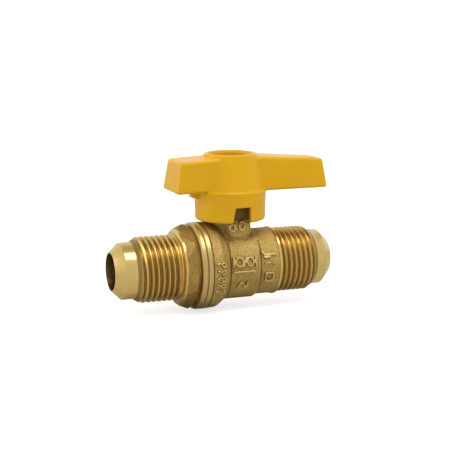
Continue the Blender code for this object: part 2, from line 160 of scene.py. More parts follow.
def carved(bm, steps):
    # boolean steps, each ("UNION" or "DIFFERENCE" or "INTERSECT", bmesh), in order
    obj = looseObject("carving", bm)
    tools = []
    for kind, tool in steps:
        tools.append(looseObject("tool", tool))
        modifier = obj.modifiers.new(kind, "BOOLEAN")
        modifier.operation = kind
        modifier.object = tools[-1]
    applied(obj)
    result = bmesh.new()
    result.from_mesh(obj.data)
    for spare in tools + [obj]:
        mesh = spare.data
        bpy.data.objects.remove(spare)
        bpy.data.meshes.remove(mesh)
    return result


def recast(bm, voxel, rounds, strength=0.5):
    # melts overlapping shapes into one skin with the soft corners of a casting
    obj = looseObject("casting", bm)
    remesh = obj.modifiers.new("melt", "REMESH")
    remesh.mode = "VOXEL"
    remesh.voxel_size = voxel * mm
    soften = obj.modifiers.new("soften", "SMOOTH")
    soften.factor = strength
    soften.iterations = rounds
    applied(obj)
    result = bmesh.new()
    result.from_mesh(obj.data)
    mesh = obj.data
    bpy.data.objects.remove(obj)
    bpy.data.meshes.remove(mesh)
    return result


def addPiece(name, bm, finishes, body, stands=(), sharpAngle=35):
    mesh = bpy.data.meshes.new(name)
    bm.to_mesh(mesh)
    bm.free()
    mesh.shade_smooth()
    mesh.set_sharp_from_angle(angle=math.radians(sharpAngle))
    for finish in finishes:
        mesh.materials.append(finish)
    obj = bpy.data.objects.new(name, mesh)
    bpy.context.scene.collection.objects.link(obj)
    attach(obj, body)
    if stands:
        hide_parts(*stands)
    return obj


def newGroup(name, inputs, outputs):
    group = bpy.data.node_groups.new(name, "ShaderNodeTree")
    for label, kind, value in inputs:
        socket = group.interface.new_socket(name=label, in_out="INPUT", socket_type=kind)
        if value is not None:
            socket.default_value = value
    for label, kind in outputs:
        group.interface.new_socket(name=label, in_out="OUTPUT", socket_type=kind)
    start = group.nodes.new("NodeGroupInput")
    end = group.nodes.new("NodeGroupOutput")
    return group, start, end


def mathNode(tree, operation, first, second=None, clamp=False):
    node = tree.nodes.new("ShaderNodeMath")
    node.operation = operation
    node.use_clamp = clamp
    for socket, value in zip(node.inputs, (first, second)):
        if value is None:
            continue
        if isinstance(value, (int, float)):
            socket.default_value = value
        else:
            tree.links.new(value, socket)
    return node.outputs[0]


def noiseNode(tree, vector, scale, detail=3.0, roughness=0.55):
    node = tree.nodes.new("ShaderNodeTexNoise")
    node.inputs["Detail"].default_value = detail
    node.inputs["Roughness"].default_value = roughness
    if isinstance(scale, (int, float)):
        node.inputs["Scale"].default_value = scale
    else:
        tree.links.new(scale, node.inputs["Scale"])
    tree.links.new(vector, node.inputs["Vector"])
    return node.outputs["Fac"]


def rangeNode(tree, value, low, high, toLow=0.0, toHigh=1.0):
    node = tree.nodes.new("ShaderNodeMapRange")
    node.inputs["From Min"].default_value = low
    node.inputs["From Max"].default_value = high
    node.inputs["To Min"].default_value = toLow
    node.inputs["To Max"].default_value = toHigh
    tree.links.new(value, node.inputs["Value"])
    return node.outputs["Result"]


def mixColour(tree, factor, first, second):
    node = tree.nodes.new("ShaderNodeMix")
    node.data_type = "RGBA"
    sockets = [s for s in node.inputs if s.type == "RGBA"]
    for socket, value in zip(sockets, (first, second)):
        if isinstance(value, tuple):
            socket.default_value = (*value, 1)
        else:
            tree.links.new(value, socket)
    tree.links.new(factor, node.inputs["Factor"])
    return [s for s in node.outputs if s.type == "RGBA"][0]


def makeLatheMarks():
    # fine rings left by a turning tool, round the X axis; Spacing is rings per metre
    group, start, end = newGroup("latheMarks", [("Vector", "NodeSocketVector", None),
                                                ("Spacing", "NodeSocketFloat", 5000.0)],
                                 [("Height", "NodeSocketFloat"), ("Radius", "NodeSocketFloat")])
    split = group.nodes.new("ShaderNodeSeparateXYZ")
    group.links.new(start.outputs["Vector"], split.inputs[0])
    ySquared = mathNode(group, "POWER", split.outputs["Y"], 2.0)
    zSquared = mathNode(group, "POWER", split.outputs["Z"], 2.0)
    radius = mathNode(group, "SQRT", mathNode(group, "ADD", ySquared, zSquared))
    along = mathNode(group, "ADD", split.outputs["X"], radius)
    rings = group.nodes.new("ShaderNodeTexNoise")
    rings.noise_dimensions = "1D"
    rings.inputs["Detail"].default_value = 4.0
    rings.inputs["Roughness"].default_value = 0.7
    group.links.new(mathNode(group, "MULTIPLY", along, start.outputs["Spacing"]), rings.inputs["W"])
    rings.inputs["Scale"].default_value = 1.0
    group.links.new(rings.outputs["Fac"], end.inputs["Height"])
    group.links.new(radius, end.inputs["Radius"])
    return group


def makeBlastGrain():
    # peened, sandy skin of a blasted forging; Size is grains per metre
    group, start, end = newGroup("blastGrain", [("Vector", "NodeSocketVector", None),
                                                ("Size", "NodeSocketFloat", 3500.0)],
                                 [("Height", "NodeSocketFloat"), ("Speck", "NodeSocketFloat")])
    vector = start.outputs["Vector"]
    fine = noiseNode(group, vector, start.outputs["Size"], 4.0, 0.65)
    coarse = noiseNode(group, vector, mathNode(group, "MULTIPLY", start.outputs["Size"], 0.28), 2.0)
    cells = group.nodes.new("ShaderNodeTexVoronoi")
    group.links.new(vector, cells.inputs["Vector"])
    group.links.new(start.outputs["Size"], cells.inputs["Scale"])
    dents = mathNode(group, "MULTIPLY", cells.outputs["Distance"], 0.5)
    height = mathNode(group, "ADD", mathNode(group, "ADD", fine, coarse), dents)
    group.links.new(height, end.inputs["Height"])
    group.links.new(rangeNode(group, fine, 0.35, 0.65), end.inputs["Speck"])
    return group


def makeHandling():
    # slow drift of tone plus small rubbed patches, for metal and paint that has been handled
    group, start, end = newGroup("handling", [("Vector", "NodeSocketVector", None),
                                              ("Size", "NodeSocketFloat", 90.0)],
                                 [("Drift", "NodeSocketFloat"), ("Rub", "NodeSocketFloat")])
    vector = start.outputs["Vector"]
    drift = noiseNode(group, vector, start.outputs["Size"], 3.0)
    patch = noiseNode(group, vector, mathNode(group, "MULTIPLY", start.outputs["Size"], 6.0), 5.0, 0.6)
    group.links.new(rangeNode(group, drift, 0.3, 0.7), end.inputs["Drift"])
    group.links.new(rangeNode(group, patch, 0.55, 0.75), end.inputs["Rub"])
    return group


latheMarks = makeLatheMarks()
blastGrain = makeBlastGrain()
handling = makeHandling()


def startMaterial(name, roughness, metallic, turn=None):
    # a material with its Principled shader and object coordinates; turn lays Z-turned pieces along X
    material = bpy.data.materials.new(name)
    material.use_nodes = True
    tree = material.node_tree
    shader = tree.nodes["Principled BSDF"]
    shader.inputs["Roughness"].default_value = roughness
    shader.inputs["Metallic"].default_value = metallic
    vector = tree.nodes.new("ShaderNodeTexCoord").outputs["Object"]
    if turn:
        mapping = tree.nodes.new("ShaderNodeMapping")
        mapping.inputs["Rotation"].default_value = turn
        tree.links.new(vector, mapping.inputs["Vector"])
        vector = mapping.outputs["Vector"]
    return material, tree, shader, vector


def useGroup(tree, group, vector, **values):
    node = tree.nodes.new("ShaderNodeGroup")
    node.node_tree = group
    tree.links.new(vector, node.inputs["Vector"])
    for label, value in values.items():
        node.inputs[label].default_value = value
    return node


def bumpFrom(tree, shader, height, depth, strength=1.0):
    # depth is the height of a full swing, in metres
    bump = tree.nodes.new("ShaderNodeBump")
    bump.inputs["Strength"].default_value = strength
    bump.inputs["Distance"].default_value = depth
    tree.links.new(height, bump.inputs["Height"])
    tree.links.new(bump.outputs["Normal"], shader.inputs["Normal"])


def turnedMetal(name, bright, deep, roughness, rings, depth, turn=None, paintedRootShade=None):
    # bright turned metal: tone drifts between two colours, tool rings in colour, gloss and bump; a thread can
    # also take a painted shade in its roots
    material, tree, shader, vector = startMaterial(name, roughness, 1.0, turn)
    marks = useGroup(tree, latheMarks, vector, Spacing=rings)
    wear = useGroup(tree, handling, vector, Size=120.0)
    tone = mathNode(tree, "MULTIPLY", marks.outputs["Height"], 0.5)
    tone = mathNode(tree, "ADD", tone, mathNode(tree, "MULTIPLY", wear.outputs["Drift"], 0.5), clamp=True)
    colour = mixColour(tree, tone, deep, bright)
    if paintedRootShade:
        # painted shade: the colour darkens from the crest radius down to the thread's root
        root, crest, shade = paintedRootShade
        height = rangeNode(tree, marks.outputs["Radius"], root * mm, crest * mm)
        colour = mixColour(tree, height, shade, colour)
    tree.links.new(colour, shader.inputs["Base Color"])
    gloss = rangeNode(tree, marks.outputs["Height"], 0.3, 0.7, roughness - 0.05, roughness + 0.07)
    tree.links.new(gloss, shader.inputs["Roughness"])
    bumpFrom(tree, shader, marks.outputs["Height"], depth)
    return material


def forgedMetal(name, bright, deep, roughness, grain, depth):
    material, tree, shader, vector = startMaterial(name, roughness, 1.0)
    skin = useGroup(tree, blastGrain, vector, Size=grain)
    wear = useGroup(tree, handling, vector, Size=140.0)
    tone = mathNode(tree, "MULTIPLY", skin.outputs["Speck"], 0.55)
    tone = mathNode(tree, "ADD", tone, mathNode(tree, "MULTIPLY", wear.outputs["Drift"], 0.45), clamp=True)
    tree.links.new(mixColour(tree, tone, deep, bright), shader.inputs["Base Color"])
    gloss = rangeNode(tree, skin.outputs["Speck"], 0.0, 1.0, roughness + 0.06, roughness - 0.06)
    tree.links.new(gloss, shader.inputs["Roughness"])
    bumpFrom(tree, shader, skin.outputs["Height"], depth)
    return material


def makeHandlePaint():
    material, tree, shader, vector = startMaterial("yellowPaint", 0.28, 0.0)
    skin = useGroup(tree, blastGrain, vector, Size=1400.0)
    wear = useGroup(tree, handling, vector, Size=70.0)
    base = mixColour(tree, wear.outputs["Drift"], (0.68, 0.362, 0.002), (0.73, 0.400, 0.003))
    rubbed = mathNode(tree, "MULTIPLY", wear.outputs["Rub"], 0.25)
    tree.links.new(mixColour(tree, rubbed, base, (0.73, 0.40, 0.015)), shader.inputs["Base Color"])
    gloss = rangeNode(tree, skin.outputs["Height"], 0.6, 1.6, 0.22, 0.34)
    tree.links.new(gloss, shader.inputs["Roughness"])
    shader.inputs["Specular IOR Level"].default_value = 0.22
    bumpFrom(tree, shader, skin.outputs["Height"], 0.006 * mm)
    return material


def softMaterial(name, light, dark, roughness, grain, depth):
    # moulded rubber or PTFE
    material, tree, shader, vector = startMaterial(name, roughness, 0.0)
    skin = useGroup(tree, blastGrain, vector, Size=grain)
    tree.links.new(mixColour(tree, skin.outputs["Speck"], dark, light), shader.inputs["Base Color"])
    bumpFrom(tree, shader, skin.outputs["Height"], depth)
    return material


uprightTurn = (0, math.radians(90), 0)
noseBrass = turnedMetal("noseBrass", (0.76, 0.55, 0.20), (0.66, 0.47, 0.16), 0.22, 3800.0, 0.0012 * mm)
# the thread's roots take a painted shade
threadBrass = turnedMetal("threadBrass", (0.70, 0.485, 0.155), (0.60, 0.405, 0.12), 0.36, 3800.0, 0.003 * mm,
                          paintedRootShade=(8.65, 9.3, (0.34, 0.21, 0.06)))
# painted shade: the inside of the bore is coloured dark brown in place of the shade inside the hole
boreShadeBrass = turnedMetal("boreShadeBrass", (0.30, 0.19, 0.08), (0.15, 0.09, 0.04), 0.42, 2500.0, 0.006 * mm)
flangeBrass = turnedMetal("flangeBrass", (0.63, 0.46, 0.175), (0.55, 0.39, 0.14), 0.36, 6500.0, 0.004 * mm)
stemBrass = turnedMetal("stemBrass", (0.72, 0.52, 0.22), (0.58, 0.40, 0.14), 0.28, 6000.0, 0.004 * mm,
                        uprightTurn)
forgedBrass = forgedMetal("forgedBrass", (0.64, 0.450, 0.150), (0.38, 0.255, 0.07), 0.60, 2100.0, 0.22 * mm)
# painted shade: dark brass for the flanks of raised marks, the creases at the steps and the lug inside the
# handle's notch
paintedShadeBrass = forgedMetal("paintedShadeBrass", (0.26, 0.16, 0.045), (0.15, 0.09, 0.025), 0.62, 2100.0, 0.12 * mm)
# painted highlight on the tops of raised marks, which are also rubbed bright
rubbedHighlightBrass = forgedMetal("rubbedHighlightBrass", (0.78, 0.56, 0.21), (0.62, 0.43, 0.14), 0.38, 2400.0, 0.10 * mm)
hexBrass = forgedMetal("hexBrass", (0.50, 0.325, 0.090), (0.31, 0.19, 0.045), 0.52, 2000.0, 0.18 * mm)
ballChrome = turnedMetal("ballChrome", (0.80, 0.80, 0.82), (0.72, 0.72, 0.74), 0.09, 1500.0, 0.0008 * mm)
platedSteel = turnedMetal("platedSteel", (0.66, 0.66, 0.63), (0.50, 0.50, 0.47), 0.33, 7000.0, 0.006 * mm,
                          uprightTurn)
seatWhite = softMaterial("seatWhite", (0.86, 0.86, 0.83), (0.78, 0.78, 0.74), 0.5, 2500.0, 0.01 * mm)
sealBlack = softMaterial("sealBlack", (0.035, 0.035, 0.036), (0.02, 0.02, 0.021), 0.5, 3000.0, 0.01 * mm)
yellowPaint = makeHandlePaint()
print("materials ready")


def fineLine(start, end, radius, step):
    # closely spaced points along a cylinder, for a thread to be cut in
    count = max(2, round(abs(end - start) / step))
    return [(start + (end - start) * k / count, radius) for k in range(count + 1)]


def cutThread(bm, thread, axis="X"):
    # pulls the points of a fine cylinder into a right-hand helical ridge
    pitch = thread["pitch"]
    for vert in bm.verts:
        x, y, z = vert.co / mm
        along, side, up = (x, y, z) if axis == "X" else (z, x, y)
        radius = math.hypot(side, up)
        if not thread["start"] - 0.01 <= along <= thread["end"] + 0.01 or radius < thread["core"]:
            continue
        turn = (math.atan2(up, side) - math.pi) / math.tau
        phase = ((along - thread["crestAt"]) / pitch - turn) % 1.0
        away = min(phase, 1 - phase) * 2            # 0 on the crest, 1 in the root
        flank = 1 - thread["crestFlat"] - thread["rootFlat"]
        slope = min(max((away - thread["crestFlat"]) / flank, 0), 1)
        ridge = thread["major"] - thread["depth"] * slope
        lead = thread["leadRadius"] + abs(along - thread["leadAt"]) * thread["leadSlope"]
        fade = max(abs(along - thread["runOutAt"]) - thread["runOutFlat"], 0)
        runOut = thread["major"] - fade * thread["runOutSlope"]
        scale = min(max(ridge, runOut), lead) / radius
        if axis == "X":
            vert.co.y *= scale
            vert.co.z *= scale
        else:
            vert.co.x *= scale
            vert.co.y *= scale


flareThread = {"pitch": 1.5875, "major": 9.525, "depth": 0.88, "crestFlat": 0.16, "rootFlat": 0.14,
               "leadRadius": 8.2, "leadSlope": 0.66, "runOutFlat": 0.25, "runOutSlope": 1.3, "core": 8.0}
fineStep = 0.09
flareMajor = flareThread["major"]


def useTwoFinishes(bm, radius=5.45):
    # faces inside the bore take the second finish, the bore's painted shade
    for face in bm.faces:
        centre = face.calc_center_median() / mm
        face.material_index = 1 if math.hypot(centre.y, centre.z) < radius else 0


def useThreadFinish(bm, low, high):
    # faces of the thread between two places along X take the third finish
    for face in bm.faces:
        if low < face.calc_center_median().x / mm < high and face.material_index == 0:
            face.material_index = 2


adapter = {"faceX": -36.1, "noseX": -33.45, "threadStart": -30.2, "threadEnd": -17.35,
           "boreRadius": 5.3, "noseRadius": 8.15, "lipRadius": 5.65, "hexTurn": math.radians(49.4),
           "acrossFlats": 22.0, "voxel": 0.16}


def makeAdapterNose(size):
    # flare, thread and collar, turned from the bar; closed behind against the hexagon
    back = -16.2
    corners = [(back, size["boreRadius"], 0), (size["faceX"], size["boreRadius"], 0.12)]
    corners += [(size["faceX"], size["lipRadius"], 0.08), (size["noseX"], size["noseRadius"], 0.35)]
    points = roundedOutline(corners + [(size["threadStart"] - 0.2, size["noseRadius"], 0)])
    points += fineLine(size["threadStart"], size["threadEnd"], flareMajor, fineStep)
    points += roundedOutline([(size["threadEnd"], flareMajor, 0), (-17.25, 10.0, 0.05), (-16.95, 10.9, 0.3),
                              (-16.3, 11.0, 0.1), (-16.3, 9.8, 0), (back, 9.8, 0)])[1:]
    bm = spun(points)
    thread = dict(flareThread, start=size["threadStart"], end=size["threadEnd"], crestAt=-27.7,
                  leadAt=size["threadStart"], runOutAt=size["threadEnd"])
    cutThread(bm, thread)
    useTwoFinishes(bm)
    useThreadFinish(bm, size["threadStart"], size["threadEnd"])
    finishes = [noseBrass, boreShadeBrass, threadBrass]
    return addPiece("adapterNose", bm, finishes, "valve", ["end_adapter"], 40)


def makeAdapterHex(size):
    # rough forged hexagon: turned blank with its corners knocked off, cut by six flats
    blank = roundedOutline([(-16.6, 5.3, 0), (-16.6, 10.0, 0), (-16.4, 11.25, 0.15), (-14.3, 12.2, 0.4),
                            (-13.8, 12.2, 0.3), (-13.35, 11.6, 0.1), (-13.2, 11.1, 0.2), (-12.5, 11.1, 0.1),
                            (-12.5, 5.3, 0)])
    flats = prism(hexCorners(size["acrossFlats"], size["hexTurn"]), -17.0, -11.0)
    turnedBy(flats, math.radians(90), "Y")
    bm = carved(spun(blank), [("INTERSECT", flats)])
    bm = recast(bm, size["voxel"], 3)
    useTwoFinishes(bm)
    return addPiece("adapterHex", bm, [hexBrass, boreShadeBrass], "valve")


def makeAdapterFlange(size):
    # machined flange, seal groove, screwed stub and the seat's pocket
    outline = roundedOutline([(-12.5, 5.3, 0), (-12.5, 12.2, 0.1), (-12.1, 12.6, 0.2), (-11.15, 12.6, 0.15),
                              (-11.02, 12.4, 0.05), (-11.02, 9.0, 0.1), (-9.3, 9.0, 0.2), (-9.3, 10.1, 0.1),
                              (-5.6, 10.1, 0.3), (-5.6, 7.7, 0.1), (-7.1, 7.7, 0.1), (-7.1, 5.3, 0.05)])
    bm = spun(outline)
    useTwoFinishes(bm)
    return addPiece("adapterFlange", bm, [flangeBrass, boreShadeBrass], "valve")


makeAdapterNose(adapter)
makeAdapterHex(adapter)
makeAdapterFlange(adapter)
print("adapter ready")


forging = {"neckRadius": 5.9, "neckTop": 19.0, "lugHalf": 3.5, "lugReach": 7.0, "lugFoot": 11.4,
           "padReach": 7.5, "midRadius": 10.4, "endRadius": 9.75, "markHeight": 0.62, "voxel": 0.175}


def wrappedMark(bm, radius):
    # a flat mark, laid out as (along the pipe, round it, height), bent round the -Y side of the body
    for vert in bm.verts:
        angle = vert.co.y / (radius * mm)
        out = radius * mm + vert.co.z
        vert.co = (vert.co.x, -out * math.cos(angle), out * math.sin(angle))
    return bm


def raisedBar(along, around, length, width, turn, radius):
    height = forging["markHeight"]
    bm = block((-length / 2, -width / 2, -0.4), (length / 2, width / 2, height), cuts=3)
    turnedBy(bm, math.radians(turn))
    bmesh.ops.translate(bm, verts=bm.verts, vec=(along * mm, around * mm, 0))
    return wrappedMark(bm, radius)


def flatRing(outer, wire, low, high, stretch):
    # a square-sectioned ring lying flat, drawn out along Y
    section = [(low, outer - wire), (low, outer), (high, outer), (high, outer - wire)]
    bm = spun(section, "Z", 24)
    bmesh.ops.scale(bm, verts=bm.verts, vec=(1, stretch, 1))
    return bm


def raisedRing(along, around, outer, wire, radius, stretch=1.0):
    bm = flatRing(outer, wire, -0.4, forging["markHeight"], stretch)
    bmesh.ops.translate(bm, verts=bm.verts, vec=(along * mm, around * mm, 0))
    return wrappedMark(bm, radius)


def castMarks():
    # plain foundry marks: rings and bars over a line, a column on the chamber, a box, a pad outline
    mid = forging["midRadius"]
    end = forging["endRadius"]
    chamber = 12.45
    marks = [raisedRing(-1.0, 2.2, 1.3, 0.45, mid, 1.2), raisedRing(2.3, 2.2, 1.15, 0.45, mid, 1.3)]
    for along, turn in ((-2.75, 90), (0.65, 72), (4.0, 90)):
        marks.append(raisedBar(along, 2.2, 3.2, 0.5, turn, mid))
    marks += [raisedBar(0.5, -0.5, 6.8, 0.45, 0, mid), raisedBar(-0.8, -4.6, 2.8, 0.5, 62, mid),
              raisedBar(0.6, -4.7, 2.6, 0.5, -62, mid), raisedBar(1.6, -4.5, 1.6, 0.45, 90, mid)]
    for k in range(5):
        marks.append(raisedBar(-8.0, 2.6 - 2.0 * k, 1.2, 0.5, 25 * (-1) ** k, chamber))
        marks.append(raisedRing(-6.5, 2.2 - 2.0 * k, 0.75, 0.4, chamber - 0.15))
    marks += [raisedBar(7.9, 2.8, 2.0, 0.42, 0, end), raisedBar(7.9, 1.3, 2.0, 0.42, 0, end),
              raisedRing(9.8, 1.4, 0.6, 0.35, end)]
    marks += [raisedBar(8.5, around, 2.6, 0.42, 0, end) for around in (-3.9, -1.6)]
    marks += [raisedBar(along, -2.75, 2.6, 0.42, 90, end) for along in (7.3, 9.7)]
    marks += [raisedBar(5.85, 7.6, 0.55, 5.6, 0, end), raisedBar(6.5, 4.35, 2.2, 0.55, -55, end),
              raisedBar(8.9, 3.6, 4.0, 0.55, 0, end)]
    return marks


def lugMarks():
    # two raised ovals on the face of the front lug
    marks = []
    for along, up, tall in ((-2.2, 11.85, 1.15), (0.7, 12.3, 1.5)):
        bm = flatRing(1.05, 0.45, -0.3, 0.6, tall)
        turnedBy(bm, math.radians(90), "X")
        bmesh.ops.translate(bm, verts=bm.verts, vec=(along * mm, -forging["padReach"] * mm, up * mm))
        marks.append(bm)
    return marks


def lugBar(half, foot, top, reach):
    # a bar through the neck from front to back, round below
    arc = [math.pi + k * math.pi / 20 for k in range(21)]
    outline = [(half * math.cos(a), foot + half * math.sin(a)) for a in arc] + [(half, top), (-half, top)]
    return turnedBy(prism(outline, -reach, reach), math.radians(90), "X")


def plainRadius(x):
    # radius of the unmarked forging at a place along X
    mid = forging["midRadius"]
    end = forging["endRadius"]
    profile = [(-9.0, 12.62), (-6.3, 12.45), (-4.2, 11.05), (-3.4, mid), (5.5, mid), (6.1, end), (12.0, end)]
    for (x0, r0), (x1, r1) in zip(profile, profile[1:]):
        if x0 <= x <= x1:
            return r0 + (r1 - r0) * (x - x0) / (x1 - x0)
    return math.inf


def finishMarks(bm, size):
    # raised marks get a painted highlight on top, where they are also rubbed bright; their flanks, the
    # creases at the steps and the lug's top inside the handle's notch get painted shade
    shade = 2
    bright = 3
    neckFoot = 7.6           # the neck and its lugs stand above this height
    for face in bm.faces:
        x, y, z = face.calc_center_median() / mm
        radius = math.hypot(y, z)
        onPad = abs(x) < 4.0 and z > neckFoot and y < 0
        rise = -y - size["padReach"] if onPad else radius - plainRadius(x)
        if face.material_index == 1 or (not onPad and z > neckFoot and abs(x) < 8.5):
            continue
        # mark flanks take painted shade, mark tops a painted highlight
        if 0.1 < rise < 0.34:
            face.material_index = shade
        if 0.34 <= rise < 1.0 and z < 12.6:
            face.material_index = bright
        # painted shade along the steps and the rim joint, and painted shadow on the lug inside the handle's
        # notch
        creased = x < -9.1 or abs(x + 3.52) < 0.26 or abs(x - 5.95) < 0.2
        if (creased and not onPad) or (onPad and z > 13.6):
            face.material_index = shade


def makeForging(size):
    mid = size["midRadius"]
    end = size["endRadius"]
    outer = roundedOutline([(-9.7, 0, 0), (-9.7, 12.3, 0), (-9.25, 12.3, 0), (-9.0, 12.62, 0.15),
                            (-6.3, 12.45, 1.5), (-4.2, 11.05, 0.8), (-3.4, mid, 0.35), (5.5, mid, 0.5),
                            (6.1, end, 0.3), (12.0, end, 0), (12.0, 0, 0)])
    neck = roundedOutline([(0, 0, 0), (0, 6.6, 0), (9.2, 6.6, 0), (10.2, 6.1, 0.6),
                           (11.4, size["neckRadius"], 0.8), (size["neckTop"], size["neckRadius"], 0.5),
                           (size["neckTop"], 0, 0)])
    lugs = lugBar(size["lugHalf"], size["lugFoot"], size["neckTop"] - 0.3, size["lugReach"])
    pads = lugBar(size["lugHalf"], size["lugFoot"] + 0.7, size["lugFoot"] + 1.6, size["padReach"])
    way = solidOf([(-12, 10.4), (-5.3, 10.4), (-5.3, 8.6), (4.0, 8.6), (4.0, 7.7), (7.1, 7.7), (7.1, 5.3),
                   (13, 5.3)])
    stemWay = solidOf([(0, 5.0), (10.6, 5.0), (10.6, 3.9), (20, 3.9)])
    steps = [("UNION", spun(neck, "Z", smallSteps)), ("UNION", lugs), ("UNION", pads),
             ("DIFFERENCE", spun(way)), ("DIFFERENCE", spun(stemWay, "Z", smallSteps))]
    solid = carved(spun(outer), steps)
    bm = recast(merged(solid, *castMarks(), *lugMarks()), size["voxel"], 2)
    useTwoFinishes(bm)
    finishMarks(bm, size)
    finishes = [forgedBrass, boreShadeBrass, paintedShadeBrass, rubbedHighlightBrass]
    return addPiece("bodyForging", bm, finishes, "valve", ["valve_body"])


def makeBodyRim():
    # machined lip that the adapter's flange seats on
    outline = roundedOutline([(-10.9, 10.4, 0.1), (-10.9, 12.35, 0.1), (-10.65, 12.65, 0.15),
                              (-9.55, 12.65, 0.15), (-9.35, 12.35, 0.1), (-9.3, 12.0, 0), (-9.3, 10.4, 0)])
    return addPiece("bodyRim", spun(outline), [flangeBrass], "valve")


outlet = {"faceX": 29.9, "noseX": 27.4, "threadStart": 12.9, "threadEnd": 24.6, "boreRadius": 5.3,
          "noseRadius": 8.15, "lipRadius": 5.65}


def makeOutletEnd(size):
    # shoulder ring, thread and flare of the outlet, cut on the same forging
    back = 11.9
    points = roundedOutline([(back, size["boreRadius"], 0), (back, 9.85, 0.1), (back + 0.15, 10.0, 0.1),
                             (12.6, 10.0, 0.15), (size["threadStart"], flareMajor, 0)])
    points += fineLine(size["threadStart"], size["threadEnd"], flareMajor, fineStep)
    corners = [(size["threadEnd"] + 0.1, size["noseRadius"], 0), (size["noseX"], size["noseRadius"], 0.35)]
    corners += [(size["faceX"], size["lipRadius"], 0.08), (size["faceX"], size["boreRadius"], 0.12)]
    points += roundedOutline(corners + [(back, size["boreRadius"], 0)])[:-1]
    bm = spun(points)
    thread = dict(flareThread, start=size["threadStart"], end=size["threadEnd"], crestAt=14.15,
                  leadAt=size["threadEnd"], runOutAt=size["threadStart"], runOutFlat=0.0, runOutSlope=3.0)
    cutThread(bm, thread)
    useTwoFinishes(bm)
    useThreadFinish(bm, size["threadStart"], size["threadEnd"])
    finishes = [noseBrass, boreShadeBrass, threadBrass]
    return addPiece("outletEnd", bm, finishes, "valve", sharpAngle=40)


makeForging(forging)
makeBodyRim()
makeOutletEnd(outlet)
print("body ready")


handle = {"skirtBottom": 13.2, "skirtRadius": 10.4, "skirtInner": 8.3, "hubTop": 32.4, "rimRadius": 7.6,
          "webBottom": 20.0, "webTop": 23.0, "voxel": 0.2, "wingCorner": 1.1, "wingEdge": 0.8,
          "wingFoot": [(-18.4, 7.2, 21.9), (-9.0, 6.0, 21.9), (0, 5.8, 21.9), (9.0, 5.6, 21.55),
                       (29.25, 4.6, 21.4)],
          "wingCrest": [(-16.9, 6.5, 30.8), (-8.5, 6.25, 31.25), (0, 6.0, 31.8), (8.7, 5.5, 31.5),
                        (27.6, 4.4, 30.1)]}


def makeWings(size):
    # one tapered bar lofted through its rows of (along, half width, height), softened at its ends
    # and then along its edges
    bm = bmesh.new()
    loops = []
    for (x, half, z), (topX, topHalf, topZ) in zip(size["wingFoot"], size["wingCrest"]):
        corners = [(x, -half, z), (x, half, z), (topX, topHalf, topZ), (topX, -topHalf, topZ)]
        verts = [bm.verts.new(Vector(c) * mm) for c in corners]
        loops.append([bm.edges.new((verts[j - 1], verts[j])) for j in range(4)])
    for first, second in zip(loops, loops[1:]):
        bmesh.ops.bridge_loops(bm, edges=first + second)
    for ends in (loops[0], loops[-1]):
        bmesh.ops.edgeloop_fill(bm, edges=ends)
    bmesh.ops.recalc_face_normals(bm, faces=bm.faces)
    upright = [e for e in bm.edges if abs(e.verts[0].co.z - e.verts[1].co.z) > 5 * mm
               and e.calc_face_angle(0) > math.radians(30)]
    softened(bm, upright, size["wingCorner"])
    level = [e for e in bm.edges if e.calc_face_angle(0) > math.radians(40)]
    softened(bm, level, size["wingEdge"])
    return bm


def softened(bm, edges, radius):
    bmesh.ops.bevel(bm, geom=edges, offset=radius * mm, offset_type="OFFSET", segments=5, profile=0.5,
                    affect="EDGES", clamp_overlap=True, material=-1)


def stopRib(size, turn):
    # the rib's flat sides meet a lug squarely at the two ends of the quarter turn
    near = forging["lugHalf"] + 0.2
    inner = 6.5
    outer = size["skirtInner"] + 0.6
    reach = math.sqrt(inner ** 2 - near ** 2)
    first = -math.asin(near / outer)
    last = -math.acos(near / outer)
    angles = [first + (last - first) * k / 8 for k in range(9)]
    outline = [(near, -reach), (reach, -near)] + [(outer * math.cos(a), outer * math.sin(a)) for a in angles]
    return turnedBy(prism(outline, 14.4, size["webBottom"] + 0.5), turn)


def makeHandle(size):
    hub = roundedOutline([(size["skirtBottom"], 0, 0), (size["skirtBottom"], 10.2, 0.7),
                          (21.85, size["skirtRadius"], 0.1), (22.1, 10.0, 0.2),
                          (size["hubTop"], size["rimRadius"], 0.45), (size["hubTop"], 0, 0)])
    cup = roundedOutline([(size["webTop"], 0, 0), (size["webTop"], 5.95, 0.6), (size["hubTop"] - 0.8, 6.1, 0),
                          (size["hubTop"] + 1, 7.0, 0), (size["hubTop"] + 1, 0, 0)])
    low = size["skirtBottom"] - 1
    hollow = solidOf([(low, 8.4), (size["webBottom"], size["skirtInner"])])
    gusset = block((-12.15, -1.7, 19.8), (-9.0, 1.7, 23.0))
    softened(gusset, gusset.edges[:], 0.5)
    notch = prism([(-2.8, low), (2.75, low), (2.6, 17.7), (-1.95, 17.7)], 5.5, 12.0)
    turnedBy(notch, math.radians(90), "X")
    drive = carved(spun(solidOf([(18, 3.5), (25, 3.5)]), "Z", smallSteps),
                   [("INTERSECT", block((-6, -2.5, 17), (6, 2.5, 26)))])
    steps = [("UNION", makeWings(size)), ("UNION", gusset), ("DIFFERENCE", spun(cup, "Z", smallSteps)),
             ("DIFFERENCE", spun(hollow, "Z", smallSteps)), ("UNION", stopRib(size, 0)),
             ("UNION", stopRib(size, math.pi)), ("DIFFERENCE", notch), ("DIFFERENCE", drive)]
    bm = carved(spun(hub, "Z", bodySteps), steps)
    bm = recast(bm, size["voxel"], 5)
    return addPiece("tHandle", bm, [yellowPaint], "handle", ["handle"], 60)


makeHandle(handle)
print("handle ready")


